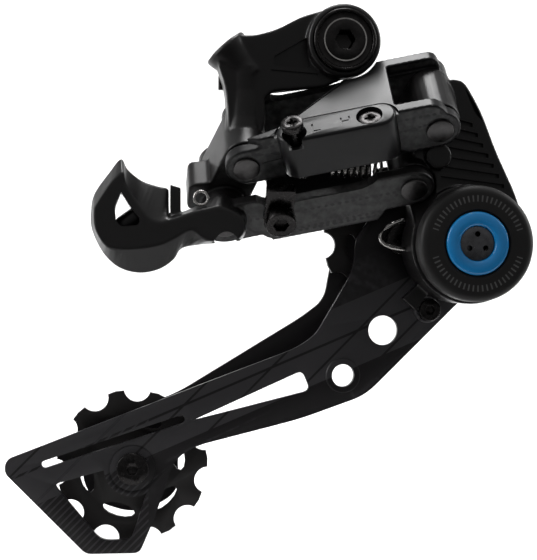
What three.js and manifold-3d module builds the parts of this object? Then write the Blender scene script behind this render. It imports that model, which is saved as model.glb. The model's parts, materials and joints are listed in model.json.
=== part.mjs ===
// Rear bicycle derailleur with a slant parallelogram and a clutch, as separate pieces.
// X points forward on the bicycle, Y towards the wheel, Z up.
// The origin is the centre of the hanger bolt's tip.
// Lengths are drawing units, and add() turns them into millimetres with SCALE.
import * as THREE from 'three';
import { mergeVertices } from 'three/addons/utils/BufferGeometryUtils.js';
import Module from 'manifold-3d';

const wasm = await Module();
wasm.setup();

// ---------------------------------------------------------------- driving dimensions

const SCALE = 0.87; // millimetres in a drawing unit
const mm = (length) => length / SCALE; // a true size in drawing units
const GAP = 0.3; // clearance between neighbouring pieces
const SLIVER = 0.01; // edges shorter than this are closed up

// The hanger bolt, M10, and the knuckle boss round it. All lie along Y.
const HANGER = { tip: 0, seat: -9, bossBack: -10.8, bossFront: -26, threadR: mm(4.9), bossR: 12 };

// The four link pins are parallel. Their plane coordinates are [a, b]: a runs along X and
// b runs inboard and down. Depth along the pins grows inboard and up.
const SLANT = Math.SQRT1_2; // the pins stand at 45 degrees between Y and Z
const PIN_A = [-32.0, 10.8];
const LINK = [60.4, -16.4]; // from A to B, and from C to D
const SPREAD = [-6.3, 19.4]; // from A to C, and from B to D
const PIN_B = [PIN_A[0] + LINK[0], PIN_A[1] + LINK[1]];
const PIN_C = [PIN_A[0] + SPREAD[0], PIN_A[1] + SPREAD[1]];
const PIN_D = [PIN_B[0] + SPREAD[0], PIN_B[1] + SPREAD[1]];
const PIN = { r: 2.8, headR: 4.3, headT: 0.9 };

// Depth ranges of the link ears and of the knuckle bosses between them.
const OUTER_EAR = [-48.3, -44.3];
const INNER_EAR = [-54.3, -50.5];
const BACK_EAR = [-25.0, -21.3];
const EAR_R = 6.8;
const BOSS_R = 7.2;
const BLOCK_FRONT = -53.5; // front of the block that carries the limit screws

// The chain cage: its pivot, plates and two 11-tooth pulleys for 12.7 mm chain.
const CAGE_AXIS = [40.5, -66.0];
const UPPER = [22.0, -63.8];
const LOWER = [-68.3, -139.9];
const TEETH = 11;
const PITCH_R = mm(12.7) / (2 * Math.sin(Math.PI / TEETH));
const TIP_R = 25.2;
const SEAT_R = mm(3.95); // chain roller seat between two teeth
const FIRST_TOOTH = THREE.MathUtils.degToRad(4.4);
const WINDOWS = 6; // lens-shaped windows in each pulley
const FIRST_WINDOW = THREE.MathUtils.degToRad(13);
const PULLEY_Y = mm(1.1); // half the thickness of the teeth
const OUTER_PLATE = [-8.5, -6.3];
const INNER_PLATE = [6.3, 8.3];
const STOP_BOLT = [30.6, -87.6];

// The clutch housing on the pulley knuckle.
const HOUSING = { r: 19.4, back: -12.3, front: -30, cavityR: 15.5, floor: -15 };
const COVER = { r: 18.5, back: -30.4, front: -39 };

// ---------------------------------------------------------------- helpers

const AXIS_A = new THREE.Vector3(1, 0, 0);
const AXIS_B = new THREE.Vector3(0, SLANT, -SLANT);
const AXIS_N = new THREE.Vector3(0, SLANT, SLANT);

function pinPoint([a, b], depth) {
  return [a, SLANT * (b + depth), SLANT * (depth - b)];
}

function along(t, perp) {
  // A plane point t mm from A towards B, and perp mm off that line towards C.
  const len = Math.hypot(...LINK);
  const [ux, uy] = [LINK[0] / len, LINK[1] / len];
  return [PIN_A[0] + ux * t - uy * perp, PIN_A[1] + uy * t + ux * perp];
}

function toSolid(geometry) {
  geometry.deleteAttribute('normal');
  geometry.deleteAttribute('uv');
  const merged = mergeVertices(geometry, 1e-4);
  return new wasm.Manifold(new wasm.Mesh({
    numProp: 3,
    vertProperties: new Float32Array(merged.attributes.position.array),
    triVerts: new Uint32Array(merged.index.array),
  }));
}

function cylinder(r, from, to, segments = 28, rTo = r) {
  const a = new THREE.Vector3(...from);
  const b = new THREE.Vector3(...to);
  const direction = b.clone().sub(a);
  const geometry = new THREE.CylinderGeometry(rTo, r, direction.length(), segments);
  geometry.applyQuaternion(new THREE.Quaternion().setFromUnitVectors(
    new THREE.Vector3(0, 1, 0), direction.clone().normalize()));
  const middle = a.add(b).multiplyScalar(0.5);
  geometry.translate(middle.x, middle.y, middle.z);
  return toSolid(geometry);
}

function yCylinder([x, z], r, y0, y1, segments = 28, rTo = r) {
  return cylinder(r, [x, y0, z], [x, y1, z], segments, rTo);
}

function yRing(centre, inner, outer, y0, y1, segments = 28) {
  return yCylinder(centre, outer, y0, y1, segments)
    .subtract(yCylinder(centre, inner, y0 - 1, y1 + 1, segments));
}

function pinCylinder(place, r, d0, d1, segments = 24) {
  return cylinder(r, pinPoint(place, d0), pinPoint(place, d1), segments);
}

// An outline from [u, v, cut] points. A cut rounds the corner that far along both sides.
function outline(points, PathType = THREE.Shape) {
  const path = new PathType();
  const count = points.length;
  const corners = points.map(([u, v]) => new THREE.Vector2(u, v));
  const order = points.map((_, i) => i);
  if (THREE.ShapeUtils.area(corners) < 0) order.reverse(); // always run anticlockwise
  order.forEach((at, i) => {
    const [u, v, cut = 0] = points[at];
    const corner = corners[at];
    const before = corners[order[(i + count - 1) % count]].clone();
    const next = order[(i + 1) % count];
    const after = corners[next].clone();
    if (corner.distanceTo(after) < cut + (points[next][2] ?? 0)) {
      throw new Error(`corner cuts overlap between ${u},${v} and ${after.x},${after.y}`);
    }
    const entry = before.sub(corner).setLength(cut).add(corner);
    const exit = after.sub(corner).setLength(cut).add(corner);
    if (i === 0) path.moveTo(entry.x, entry.y);
    else path.lineTo(entry.x, entry.y);
    if (cut > 0) path.quadraticCurveTo(u, v, exit.x, exit.y);
  });
  path.closePath();
  return path;
}

// Two circles and the straight tangents that join them.
function strap([pu, pv], pr, [qu, qv], qr, PathType = THREE.Shape) {
  const heading = Math.atan2(qv - pv, qu - pu);
  const spread = Math.acos((pr - qr) / Math.hypot(qu - pu, qv - pv));
  const path = new PathType();
  path.absarc(pu, pv, pr, heading + spread, heading - spread + 2 * Math.PI, false);
  path.absarc(qu, qv, qr, heading - spread, heading + spread, false);
  path.closePath();
  return path;
}

function hole([u, v], r) {
  const path = new THREE.Path();
  path.absarc(u, v, r, 0, 2 * Math.PI, true);
  return path;
}

function extrude(shape, depth, basis, offset, curveSegments) {
  const geometry = new THREE.ExtrudeGeometry(shape, { depth, bevelEnabled: false, curveSegments });
  geometry.applyMatrix4(basis);
  geometry.translate(...offset);
  return toSolid(geometry);
}

// A plate in the XZ plane between two Y values.
function upright(shape, y0, y1, curveSegments = 4) {
  const basis = new THREE.Matrix4().makeBasis(
    AXIS_A, new THREE.Vector3(0, 0, 1), new THREE.Vector3(0, -1, 0));
  return extrude(shape, y1 - y0, basis, [0, y1, 0], curveSegments);
}

// A plate in the plane of the links between two depths.
function slab(shape, [d0, d1], curveSegments = 6) {
  const basis = new THREE.Matrix4().makeBasis(AXIS_A, AXIS_B, AXIS_N);
  return extrude(shape, d1 - d0, basis, pinPoint([0, 0], d0), curveSegments);
}

function box([x0, x1], [y0, y1], [z0, z1]) {
  const geometry = new THREE.BoxGeometry(x1 - x0, y1 - y0, z1 - z0);
  geometry.translate((x0 + x1) / 2, (y0 + y1) / 2, (z0 + z1) / 2);
  return toSolid(geometry);
}

// A round wire along a curve, closed at both ends.
function wire(curve, r, steps, sides = 6) {
  const section = new THREE.Shape();
  section.absarc(0, 0, r, 0, 2 * Math.PI, false);
  return toSolid(new THREE.ExtrudeGeometry(section, {
    extrudePath: curve, steps, bevelEnabled: false, curveSegments: sides / 2,
  }));
}

class Coil extends THREE.Curve {
  // Turns of radius r about the line from one point to another.
  constructor(from, to, r, turns) {
    super();
    this.from = new THREE.Vector3(...from);
    this.travel = new THREE.Vector3(...to).sub(this.from);
    this.u = new THREE.Vector3(0, 0, 1).cross(this.travel).normalize();
    if (this.u.lengthSq() < 0.5) this.u.set(1, 0, 0);
    this.v = this.travel.clone().normalize().cross(this.u);
    this.r = r;
    this.turns = turns;
  }

  getPoint(t, target = new THREE.Vector3()) {
    const angle = 2 * Math.PI * this.turns * t;
    return target.copy(this.from).addScaledVector(this.travel, t)
      .addScaledVector(this.u, this.r * Math.cos(angle))
      .addScaledVector(this.v, this.r * Math.sin(angle));
  }
}

function hexagon([u, v], acrossFlats, PathType = THREE.Shape) {
  const path = new PathType();
  for (let i = 0; i < 6; i += 1) {
    const angle = (i * Math.PI) / 3;
    const corner = acrossFlats / Math.sqrt(3);
    const point = [u + corner * Math.cos(angle), v + corner * Math.sin(angle)];
    if (i === 0) path.moveTo(...point);
    else path.lineTo(...point);
  }
  path.closePath();
  return path;
}

// ---------------------------------------------------------------- materials

const COLOURS = {
  knuckle_black: 0x1b1c1e,
  link_black: 0x17181a,
  cage_black: 0x202123,
  pulley_black: 0x1a1a1b,
  cover_black: 0x242526,
  badge_blue: 0x1f8fd6,
  screw_black: 0x2b2c2e,
  pin_steel: 0x4a4c50,
  bearing_steel: 0x9a9da2,
  spring_steel: 0x6a6d72,
  bush_bronze: 0x8a6a3a,
};

const derailleur = new THREE.Group();
derailleur.name = 'rear_derailleur';

function add(name, solid, slot) {
  const clean = solid.asOriginal().simplify(SLIVER);
  const { numProp, vertProperties, triVerts } = clean.getMesh();
  if (numProp !== 3) throw new Error(`${name} has extra vertex data`);
  const geometry = new THREE.BufferGeometry();
  geometry.setAttribute('position', new THREE.BufferAttribute(vertProperties, 3));
  geometry.setIndex(new THREE.BufferAttribute(triVerts, 1));
  geometry.scale(SCALE, SCALE, SCALE);
  geometry.computeVertexNormals();
  const material = new THREE.MeshStandardMaterial({ color: COLOURS[slot], name: slot });
  const mesh = new THREE.Mesh(geometry, material);
  mesh.name = name;
  derailleur.add(mesh);
}

// ---------------------------------------------------------------- hanger bolt and stop washer

const BOLT_HEAD = { r: 10.2, back: -24.2, front: -27.2, socket: mm(5) };
const hangerBolt = yCylinder([0, 0], HANGER.threadR, BOLT_HEAD.back - 1, HANGER.tip, 32)
  .add(yCylinder([0, 0], BOLT_HEAD.r, BOLT_HEAD.front, BOLT_HEAD.back, 40))
  .subtract(upright(hexagon([0, 0], BOLT_HEAD.socket), BOLT_HEAD.front - 1, -21))
  .subtract(yRing([0, 0], 6.8, 9.0, BOLT_HEAD.front - 1, BOLT_HEAD.front + 1, 40));
add('hanger_bolt', hangerBolt, 'screw_black');

// The washer's tab carries a lug that the B-tension screw pushes on.
const WASHER = [HANGER.seat - 1.5, HANGER.seat];
const LUG = { x: [-13.6, -12.2], z: [-13.8, -9.5], y: [WASHER[0], -6] };
const stopWasher = yCylinder([0, 0], 9.6, ...WASHER, 40)
  .add(upright(outline([[0, 8], [-13.6, -9.5], [-13.6, -13.8], [-6, -10], [6, 0]]), ...WASHER))
  .add(box(LUG.x, LUG.y, LUG.z))
  .subtract(yCylinder([0, 0], HANGER.threadR + GAP, HANGER.seat - 3, HANGER.seat + 3, 32));
add('stop_washer', stopWasher, 'bearing_steel');

// ---------------------------------------------------------------- hanger knuckle (B-knuckle)

const HOUSING_BOSS = { end: [-38.3, -15.5, -1.6], root: [-27.0, -15.5, -13.7], r: 7.6 };
const ARM = [-21.5, HANGER.bossBack];
const armShape = outline([
  [-2, 11.8], [-17.4, 3.9, 4], [-26.6, -1.2, 2], [-31, -1.5, 2], [-42.3, -10, 3],
  [-38.2, -18.5, 5], [-37.4, -29, 4], [-40.5, -38, 3], [-28, -40, 2], [-24.5, -27, 3],
  [-26, -15, 2], [-24.5, -10.4, 2], [-11, -10.4, 2], [0, -11.6],
]);

const bScrewAt = { y: -8, z: -11.8 };

function linkSweep(depths) {
  // Room for a link ear and its plate at rest.
  return slab(strap(PIN_A, EAR_R + 0.5, PIN_B, EAR_R + 0.5), depths);
}

let bKnuckle = yCylinder([0, 0], HANGER.bossR, HANGER.bossFront, HANGER.bossBack, 40)
  .add(upright(armShape, ...ARM))
  .add(cylinder(HOUSING_BOSS.r, HOUSING_BOSS.root, HOUSING_BOSS.end, 32))
  .add(slab(strap(PIN_A, BOSS_R, PIN_C, BOSS_R + 0.4), [OUTER_EAR[1] + GAP, BACK_EAR[0] - GAP]))
  .add(pinCylinder(PIN_C, BOSS_R + 0.4, INNER_EAR[1] + GAP, BACK_EAR[0] - GAP))
  .add(slab(outline([[-50, 22, 2], [-38, 20], [-38, 34], [-50, 32, 2]]), [-44, -32]))
  .add(box([-37, -26], [HANGER.bossBack - 1, bScrewAt.y + 3.2], [-15.6, -8]));
bKnuckle = bKnuckle
  .subtract(yCylinder([0, 0], 7.3, HANGER.bossFront - 1, HANGER.bossBack + 1, 32))
  .subtract(yCylinder([0, 0], BOLT_HEAD.r + 0.4, HANGER.bossFront - 1, BOLT_HEAD.back + GAP, 40))
  .subtract(linkSweep([BACK_EAR[0] - GAP, BACK_EAR[1] + 12]))
  .subtract(pinCylinder(PIN_A, PIN.r + 0.2, -60, 0))
  .subtract(pinCylinder(PIN_C, PIN.r + 0.2, -60, 0))
  .subtract(cylinder(1.8, [-50, bScrewAt.y, bScrewAt.z], [-20, bScrewAt.y, bScrewAt.z], 20))
  .subtract(cylinder(5.5, [-34.2, -15.5, -6.1], [-42, -15.5, 2.2], 28))
  .subtract(cylinder(2.4, [-22, -15.5, -19.1], [-42, -15.5, 2.2], 16));
add('b_knuckle', bKnuckle, 'knuckle_black');

add('hanger_bushing', yRing([0, 0], HANGER.threadR + 0.25, 7.0, -23.6, -11.1), 'bush_bronze');

// The sleeve that the cable housing ends in.
const housingAxis = [[-34.4, -15.5, -5.9], [-38.9, -15.5, -0.9]];
add('housing_sleeve', cylinder(5.2, ...housingAxis, 28)
  .subtract(cylinder(2.9, [-33, -15.5, -7.4], [-42, -15.5, 2.2], 20)), 'cover_black');

// The B-tension screw runs along X and stops just short of the washer's lug.
const bScrew = cylinder(1.5, [-38, bScrewAt.y, bScrewAt.z], [LUG.x[0] - GAP, bScrewAt.y, bScrewAt.z], 16)
  .add(cylinder(2.6, [-39.8, bScrewAt.y, bScrewAt.z], [-37.3, bScrewAt.y, bScrewAt.z], 20))
  .subtract(box([-40, -38.8], [bScrewAt.y - 0.4, bScrewAt.y + 0.4], [bScrewAt.z - 2, bScrewAt.z + 2]));
add('b_tension_screw', bScrew, 'screw_black');

// ---------------------------------------------------------------- link pins

function linkPin(place, front) {
  return pinCylinder(place, PIN.r, front - 0.3, BACK_EAR[1] + 0.8, 20)
    .add(pinCylinder(place, PIN.headR, front - PIN.headT - 0.1, front - 0.1, 28));
}
add('pin_a', linkPin(PIN_A, OUTER_EAR[0]), 'pin_steel');
add('pin_b', linkPin(PIN_B, OUTER_EAR[0]), 'pin_steel');
add('pin_c', linkPin(PIN_C, INNER_EAR[0]), 'pin_steel');
add('pin_d', linkPin(PIN_D, INNER_EAR[0]), 'pin_steel');

// ---------------------------------------------------------------- outer link

const LINK_LENGTH = Math.hypot(...LINK);
const WEB = { near: -8.1, far: -10.6 }; // distance of the top wall from the line of the pins
const BLOCK = { from: 15, to: 49, bottom: 3.8 };
const SCREWS = {
  low: { t: 17.5, depth: -50.0, proud: 5.6 },
  high: { t: 41.5, depth: -48.4, proud: 0 },
};

function linkShape(points) {
  return outline(points.map(([t, perp, cut]) => [...along(t, perp), cut]));
}

function webCut() {
  // Cuts the top wall back from the hanger boss, on a line across the link.
  const corner = [along(-6, 0)[0], along(31, 0)[0]];
  const shape = new THREE.Shape();
  shape.moveTo(corner[0] - 6, OUTER_EAR[1] + 0.5);
  shape.lineTo(corner[0] + 10, OUTER_EAR[1] + 1.5);
  shape.lineTo(corner[1], -28.5);
  shape.lineTo(corner[1] + 11, BACK_EAR[0] - 0.5);
  shape.lineTo(corner[1] + 11, -10);
  shape.lineTo(corner[0] - 6, -10);
  shape.closePath();
  // The cutter's own plane is X against depth, and it runs along b above the pins.
  const basis = new THREE.Matrix4().makeBasis(
    AXIS_A, AXIS_N, AXIS_B.clone().negate());
  return extrude(shape, 40, basis, pinPoint([0, 12], 0), 4);
}

const topWall = slab(linkShape([
  [10, WEB.far], [LINK_LENGTH + 1, WEB.far], [LINK_LENGTH + 1, WEB.near], [10, WEB.near],
]), [OUTER_EAR[0], BACK_EAR[1]]);
const frontPlate = slab(strap(PIN_A, EAR_R, PIN_B, EAR_R), OUTER_EAR)
  .subtract(slab(linkShape([
    [13, BLOCK.bottom], [LINK_LENGTH - 12, BLOCK.bottom, 2], [LINK_LENGTH - 9, 9], [10, 9],
  ]), [OUTER_EAR[0] - 1, OUTER_EAR[1] + 1]))
  .add(slab(linkShape([
    [3, -5], [11, WEB.far, 2], [LINK_LENGTH + 1, WEB.far, 2], [LINK_LENGTH + 4, -4], [30, 0],
  ]), OUTER_EAR));
const backPlate = slab(strap(PIN_A, EAR_R, PIN_B, EAR_R), BACK_EAR)
  .subtract(slab(linkShape([[11, 4.6, 4], [LINK_LENGTH - 11, 4.6, 4], [LINK_LENGTH - 8, 9], [8, 9]]),
    [BACK_EAR[0] - 1, BACK_EAR[1] + 1]))
  .subtract(slab(linkShape([[11, -5, 4], [34, -5, 4], [38, -9], [8, -9]]),
    [BACK_EAR[0] - 1, BACK_EAR[1] + 1]))
  .add(slab(linkShape([[LINK_LENGTH - 20, WEB.far], [LINK_LENGTH + 1, WEB.far], [LINK_LENGTH + 5, -4],
    [LINK_LENGTH - 12, 0], [LINK_LENGTH - 22, -5]]), BACK_EAR));
const backPad = slab(strap(along(LINK_LENGTH - 8, -2), 5.5, PIN_B, EAR_R), [BACK_EAR[1] - 0.5, -18.4]);
const screwBlock = slab(linkShape([
  [BLOCK.from, WEB.far, 2], [BLOCK.to, WEB.far, 2], [BLOCK.to, BLOCK.bottom, 2],
  [BLOCK.from, BLOCK.bottom, 2],
]), [BLOCK_FRONT, OUTER_EAR[1]]);
// The link is open between its ears at the pulley end, where the knuckle's boss shows.
const topWindow = slab(linkShape([[49, -20], [80, -20], [80, 4], [49, 4]]),
  [OUTER_EAR[1], BACK_EAR[0]]);

function screwHole({ t, depth }, perpFrom, perpTo, r) {
  return cylinder(r, pinPoint(along(t, perpFrom), depth), pinPoint(along(t, perpTo), depth), 24);
}

let outerLink = topWall.subtract(webCut())
  .add(frontPlate).add(backPlate).add(backPad).add(screwBlock)
  .subtract(topWindow)
  .subtract(yCylinder([0, 0], HANGER.bossR + 0.6, HANGER.bossFront - 1, 0, 40))
  .subtract(pinCylinder(PIN_A, PIN.r + 0.1, -60, 0))
  .subtract(pinCylinder(PIN_B, PIN.r + 0.1, -60, 0));
Object.values(SCREWS).forEach((screw) => {
  outerLink = outerLink
    .subtract(screwHole(screw, -20, 20, 2.15))
    .subtract(screwHole(screw, -20, WEB.far + 2.8, 4.2));
});
add('outer_link', outerLink, 'link_black');

function limitScrew(screw, tip) {
  const headTop = WEB.far - screw.proud;
  const cross = ['t', 'depth'].map((axis) => {
    const half = axis === 't' ? [1.7, 0.45] : [0.45, 1.7];
    const shape = linkShape([
      [screw.t - half[0], headTop - 1], [screw.t + half[0], headTop - 1],
      [screw.t + half[0], headTop + 1.2], [screw.t - half[0], headTop + 1.2],
    ]);
    return slab(shape, [screw.depth - half[1], screw.depth + half[1]]);
  });
  return screwHole(screw, headTop + 1.5, tip, 1.85)
    .add(screwHole(screw, headTop, headTop + 2.4, 3.5))
    .subtract(cross[0]).subtract(cross[1]);
}
add('limit_screw_low', limitScrew(SCREWS.low, 6.2), 'screw_black');
add('limit_screw_high', limitScrew(SCREWS.high, 4.6), 'screw_black');

// ---------------------------------------------------------------- inner link with the cable arm

const INNER_WEB = { near: 8.4, far: 10.8, from: 14, to: 50 };

function innerShape(points) {
  const shift = ([t, perp, cut]) => {
    const [a, b] = along(t, perp);
    return [a + SPREAD[0], b + SPREAD[1], cut];
  };
  return outline(points.map(shift));
}

const FIN = [-26, -17.5];
const finShape = outline([
  [-36, -60], [-35.4, -65.0, 1], [-47, -66.6, 3], [-54.4, -71, 4], [-66, -77.2, 6],
  [-80.5, -72, 7], [-83.5, -56, 6], [-74, -38.6, 1.5], [-71.5, -38.6, 0.6], [-61.8, -46.9, 4],
  [-53.3, -46.9, 1], [-53.3, -55.5, 1], [-44, -51.8, 2], [-38, -50],
]);
const finWindow = outline([
  [-72.6, -48.6, 1.5], [-66.5, -58, 2], [-66.2, -62.6, 1.5], [-72.4, -63.8, 2], [-75.2, -53, 3],
], THREE.Path);
finShape.holes.push(finWindow);

const CLAMP = { place: [-21, 22.7], plate: [-58.2, INNER_EAR[0] - GAP], headR: 4.9 };

let innerLink = slab(strap(PIN_C, EAR_R + 1, PIN_D, EAR_R), INNER_EAR)
  .subtract(slab(innerShape([
    [14, -4.6, 4], [LINK_LENGTH - 12, -4.6, 4], [LINK_LENGTH - 9, -9], [11, -9],
  ]), [INNER_EAR[0] - 1, INNER_EAR[1] + 1]))
  .add(slab(strap(PIN_C, EAR_R + 0.6, PIN_D, EAR_R), BACK_EAR))
  .add(slab(innerShape([
    [INNER_WEB.from, INNER_WEB.far], [INNER_WEB.to, INNER_WEB.far], [INNER_WEB.to, INNER_WEB.near],
    [INNER_WEB.from, INNER_WEB.near],
  ]), [INNER_EAR[0], BACK_EAR[1]]))
  .add(slab(innerShape([
    [4, 0], [INNER_WEB.from, INNER_WEB.far, 1], [INNER_WEB.to, INNER_WEB.far, 1], [LINK_LENGTH - 5, 0],
  ]), INNER_EAR))
  .add(slab(innerShape([
    [4, 0], [INNER_WEB.from, INNER_WEB.far, 1], [INNER_WEB.to, INNER_WEB.far, 1], [LINK_LENGTH - 5, 0],
  ]), BACK_EAR))
  .add(upright(finShape, ...FIN));
innerLink = innerLink
  .subtract(pinCylinder(PIN_C, BOSS_R + 0.8, INNER_EAR[1], BACK_EAR[0]))
  .subtract(pinCylinder(PIN_C, PIN.headR + 0.3, -75, INNER_EAR[0]))
  .subtract(pinCylinder(PIN_C, PIN.r + 0.1, -60, 0))
  .subtract(pinCylinder(PIN_D, PIN.r + 0.1, -60, 0))
  .subtract(pinCylinder(CLAMP.place, 2.6, -60, -49, 20));
add('inner_link', innerLink, 'link_black');

const clampPlate = slab(outline([
  [-26, 12, 1], [-16.8, 12, 1], [-16.8, 28, 2], [-26, 28, 2],
]), CLAMP.plate, 4).subtract(pinCylinder(CLAMP.place, 2.7, -62, -52, 20));
add('cable_clamp_plate', clampPlate, 'screw_black');

const clampBolt = pinCylinder(CLAMP.place, CLAMP.headR, -62.6, CLAMP.plate[0] - 0.1, 32)
  .add(pinCylinder(CLAMP.place, 2.3, -59, -49.6, 20))
  .subtract(slab(hexagon(CLAMP.place, mm(4)), [-64, -60]));
add('cable_clamp_bolt', clampBolt, 'screw_black');

// ---------------------------------------------------------------- return spring

const springFrom = pinPoint([-5, 12.3], -45.2);
const springTo = pinPoint([13, 13.3], -45.2);
add('return_spring', wire(new Coil(springFrom, springTo, 3.1, 9), 0.65, 90), 'spring_steel');

// ---------------------------------------------------------------- pulley knuckle (P-knuckle)

const bossDepth = [OUTER_EAR[1] + GAP, BACK_EAR[0] - GAP];
const knuckleShape = outline([
  [22, -53, 3], [22, -34, 4], [28.5, -21, 3], [33.0, -12.5, 2], [38.5, -12.5, 3], [44.7, -23, 6],
  [49, -35, 6], [57, -52, 6], [59, -62, 4], [56, -66], [24, -66], [22, -66],
]);
let pKnuckle = slab(strap(PIN_B, BOSS_R, PIN_D, BOSS_R - 0.2), bossDepth)
  .add(pinCylinder(PIN_D, BOSS_R - 0.2, INNER_EAR[1] + GAP, bossDepth[1]))
  .add(upright(knuckleShape, -28.5, -15.5))
  .add(yCylinder(CAGE_AXIS, HOUSING.r, HOUSING.front, HOUSING.back, 48));
const LUG_ARC = [222, 235.8]; // the stop bolt rests against the lug's far side
const lugCorners = [[17.5, 0], [26.4, 0], [26.4, 1], [17.5, 1]].map(([radius, side]) => {
  const angle = THREE.MathUtils.degToRad(LUG_ARC[side]);
  return [CAGE_AXIS[0] + radius * Math.cos(angle), CAGE_AXIS[1] + radius * Math.sin(angle)];
});
const stopLug = upright(outline(lugCorners), -16.5, HOUSING.back - 0.4);
pKnuckle = pKnuckle
  .subtract(yCylinder(CAGE_AXIS, HOUSING.cavityR, HOUSING.front - 1, HOUSING.floor, 40))
  .subtract(yCylinder(CAGE_AXIS, 6.4, HOUSING.floor - 1, HOUSING.back + 1, 32))
  .add(stopLug)
  .subtract(slab(strap(PIN_C, EAR_R + 1.4, PIN_D, EAR_R + 0.4), [INNER_EAR[0] - GAP, INNER_EAR[1] + GAP]))
  .subtract(pinCylinder(PIN_B, EAR_R + 0.5, -60, OUTER_EAR[1] + GAP))
  .subtract(pinCylinder(PIN_D, EAR_R + 0.5, -70, INNER_EAR[1] + GAP))
  .subtract(pinCylinder(PIN_B, EAR_R + 0.5, BACK_EAR[0] - GAP, 0))
  .subtract(pinCylinder(PIN_D, EAR_R + 0.5, BACK_EAR[0] - GAP, 0))
  .subtract(pinCylinder(PIN_B, PIN.r + 0.2, -60, 0))
  .subtract(pinCylinder(PIN_D, PIN.r + 0.2, -60, 0));
add('p_knuckle', pKnuckle, 'knuckle_black');

add('pivot_bushing', yRing(CAGE_AXIS, 4.3, 6.1, -17.4, -12.6), 'bush_bronze');
add('clutch_sleeve', yRing(CAGE_AXIS, 4.3, 8.6, -29.6, -22.2), 'bearing_steel');
add('clutch_band', yRing(CAGE_AXIS, 8.9, 11.2, -29.2, -22.6), 'bush_bronze');

const coverCup = yCylinder(CAGE_AXIS, COVER.r, COVER.front, COVER.back, 56)
  .subtract(yCylinder(CAGE_AXIS, 14.5, COVER.front + 3, COVER.back + 1, 32))
  .subtract(yCylinder(CAGE_AXIS, 10.4, COVER.front - 1, COVER.front + 1.2, 40));
add('clutch_cover', coverCup, 'cover_black');

const badge = yCylinder(CAGE_AXIS, 10.1, COVER.front - 0.6, COVER.front + 0.9, 40)
  .subtract(yRing(CAGE_AXIS, 5.2, 7.6, COVER.front - 2, COVER.front - 0.1, 32));
add('clutch_badge', badge, 'badge_blue');

const cageSpring = new Coil([CAGE_AXIS[0], -21.0, CAGE_AXIS[1]], [CAGE_AXIS[0], -16.4, CAGE_AXIS[1]],
  12.2, 2.2);
add('cage_spring', wire(cageSpring, 0.8, 44), 'spring_steel');

// ---------------------------------------------------------------- chain cage

const outerPlateShape = outline([
  [6.5, -64, 3], [13, -54, 6], [28, -50, 8], [48, -50, 7], [57, -61, 6], [57, -72, 4],
  [41.1, -85.8, 3], [9.8, -116.4, 5], [-12.5, -124.2, 6], [-47.4, -132.8, 4], [-54.5, -137.3, 4],
  [-61, -156.5, 3], [-66, -168, 2], [-83.6, -168, 2], [-110.2, -140.8, 2], [-109.6, -136.6, 2],
  [-46, -112.5, 6], [-13.5, -100.4, 4], [-7.1, -96, 3], [6, -74, 5],
]);
outerPlateShape.holes.push(
  outline([[-48.6, -124.6], [-11.5, -109.0, 2.4], [-9.4, -114.8, 2.4]], THREE.Path),
  strap([-96.8, -138.2], 1.2, [-52.4, -124.0], 1.4, THREE.Path),
  hole([15.8, -94.6], 5.0),
  hole([2.1, -109.7], 3.8),
);
const cageWindow = upright(outline([
  [-94.0, -144.8, 2], [-76, -140, 2], [-61, -140, 1], [-68.6, -163.6, 2], [-78.6, -163.6, 3],
]), OUTER_PLATE[0] - 1, OUTER_PLATE[1] + 1).subtract(yCylinder(LOWER, 9.4, -12, 0, 48));
let outerPlate = upright(outerPlateShape, ...OUTER_PLATE)
  .subtract(cageWindow)
  .add(yRing([2.1, -109.7], 3.8, 5.9, OUTER_PLATE[0] - 0.6, OUTER_PLATE[1]))
  .add(yCylinder(STOP_BOLT, 4.4, OUTER_PLATE[0] - 2.6, OUTER_PLATE[1], 32));
const PLATE_HOLES = [[UPPER, 2.7], [LOWER, 2.7], [CAGE_AXIS, 4.2], [STOP_BOLT, 1.9]];
PLATE_HOLES.forEach(([place, r]) => {
  outerPlate = outerPlate.subtract(yCylinder(place, r, -14, 0, 24));
});
add('cage_outer_plate', outerPlate, 'cage_black');

const innerPlateShape = outline([
  [0.6, -70, 5], [9, -54, 8], [30, -50, 10], [36, -68, 8], [28, -80, 6], [2, -93, 6],
  [-22, -112, 8], [-48, -124, 8], [-53, -138, 5], [-52, -150, 6], [-66, -158, 8], [-84, -152, 8],
  [-86, -136, 8], [-74, -124, 6], [-53, -116.3, 6], [-10, -90.4, 4], [-2.1, -84.4, 4],
]);
const innerPlate = upright(innerPlateShape, ...INNER_PLATE)
  .subtract(yCylinder(UPPER, 2.7, 0, 14, 24))
  .subtract(yCylinder(LOWER, 2.7, 0, 14, 24));
add('cage_inner_plate', innerPlate, 'cage_black');

const cageAxle = yCylinder(CAGE_AXIS, 4.0, -35.4, OUTER_PLATE[1], 32)
  .add(yCylinder(CAGE_AXIS, 7.4, OUTER_PLATE[0] - 1.8, OUTER_PLATE[0] - 0.1, 32));
add('cage_axle', cageAxle, 'bearing_steel');
add('axle_retainer', yRing(CAGE_AXIS, 4.2, 7.2, -33.6, -31.4), 'spring_steel');

const stopBolt = yCylinder(STOP_BOLT, 1.7, OUTER_PLATE[0] - 3, OUTER_PLATE[1], 20)
  .add(yCylinder(STOP_BOLT, 3.6, OUTER_PLATE[0] - 6.4, OUTER_PLATE[0] - 2.8, 28))
  .subtract(upright(hexagon(STOP_BOLT, mm(2.5)), OUTER_PLATE[0] - 7, OUTER_PLATE[0] - 4.4));
add('cage_stop_bolt', stopBolt, 'screw_black');

// ---------------------------------------------------------------- pulleys

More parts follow.
